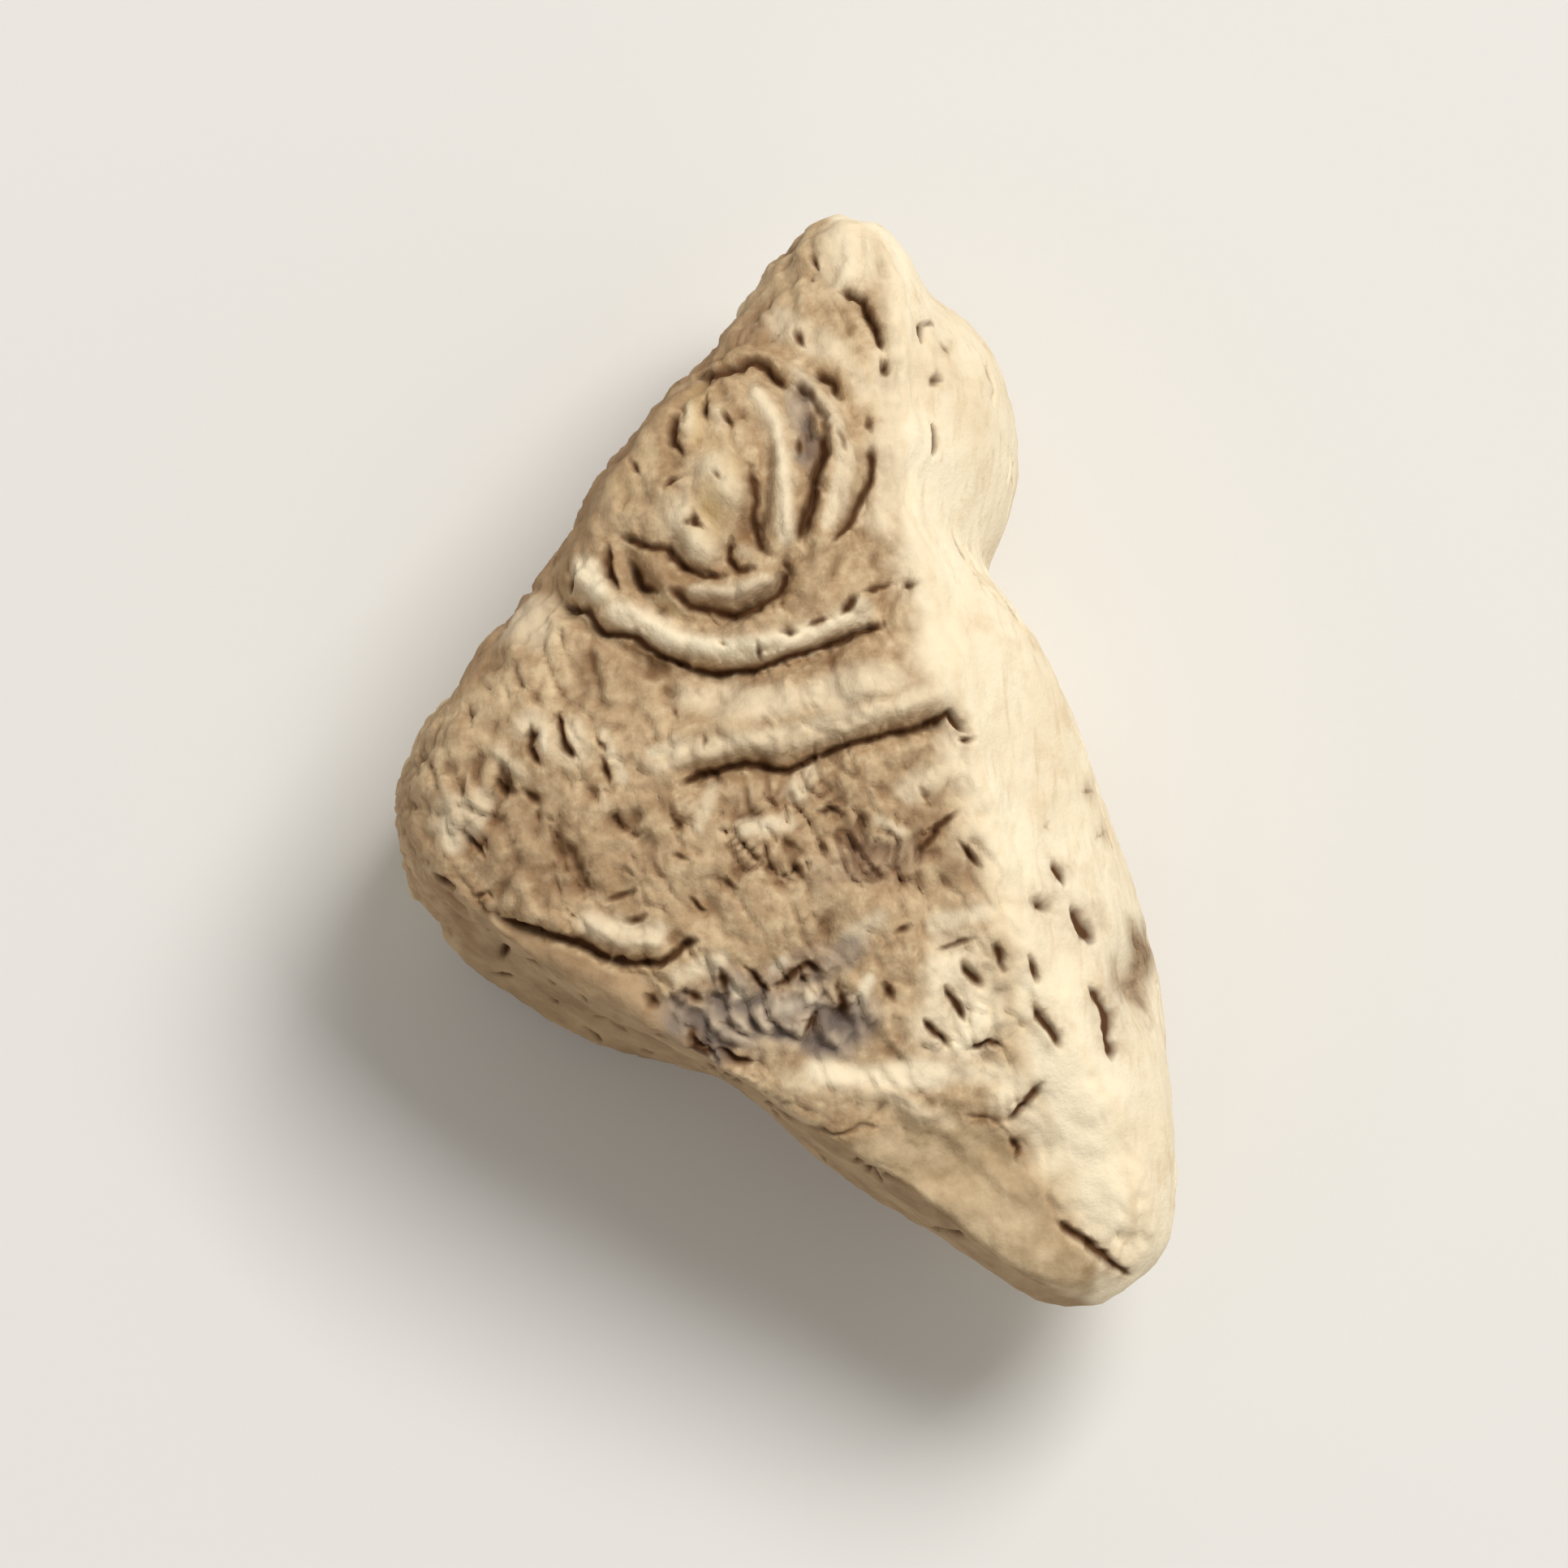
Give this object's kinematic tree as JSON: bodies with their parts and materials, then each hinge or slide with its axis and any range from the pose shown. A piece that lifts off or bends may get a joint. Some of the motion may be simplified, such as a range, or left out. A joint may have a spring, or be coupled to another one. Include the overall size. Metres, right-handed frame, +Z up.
{
  "type": "wild yam root chunk",
  "caption": "Dried, cut chunk of a knobbly rhizome lying bark side up, with a ringed stem scar, a ridge across the bark and pale, knife-cut flesh on its sides.",
  "frame": {"origin": "centre of the chunk's bounding box, at the height of the flat spot that it rests on", "axes": "+Z up from the resting spot to the bark, +Y along the rhizome towards the stem scar, +X across it"},
  "size_m": [0.0122, 0.017, 0.0088],
  "materials": {
    "dried_rhizome": "dry and dull: grey-tan bark with a pale, starchy cut flesh"
  },
  "bodies": {
    "root": {"root_chunk": "dried_rhizome"}
  },
  "joints": []
}
